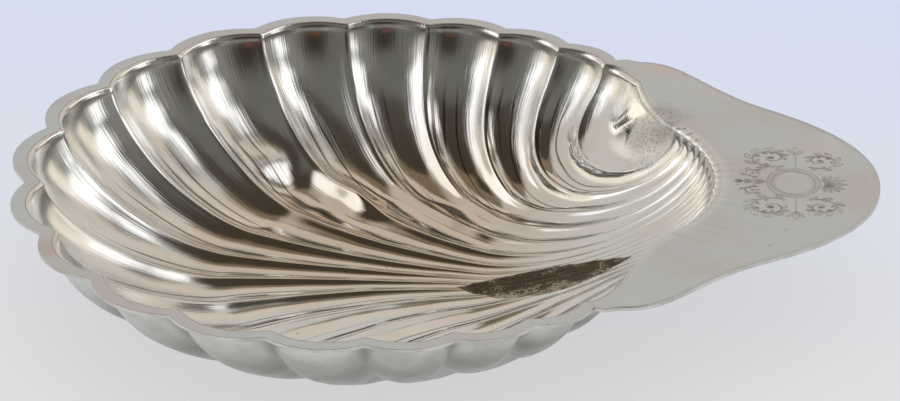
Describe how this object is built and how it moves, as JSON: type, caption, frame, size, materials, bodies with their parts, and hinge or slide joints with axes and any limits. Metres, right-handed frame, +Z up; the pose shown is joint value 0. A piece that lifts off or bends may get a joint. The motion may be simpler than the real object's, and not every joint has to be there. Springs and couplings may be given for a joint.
{
  "type": "shell bonbon bowl",
  "caption": "Shallow scallop-shell dish in polished silver sheet, with swirled flutes, a scalloped flange and a flat bell-shaped tab to hold.",
  "frame": {"origin": "on the table, under the middle of the box that holds the dish", "axes": "+X towards the tab, +Z up out of the bowl"},
  "size_m": [0.149, 0.1376, 0.0216],
  "materials": {
    "polished_silver": "polished silver with light wear and faint tarnish"
  },
  "bodies": {
    "root": {"shell_dish": "polished_silver"}
  },
  "joints": []
}
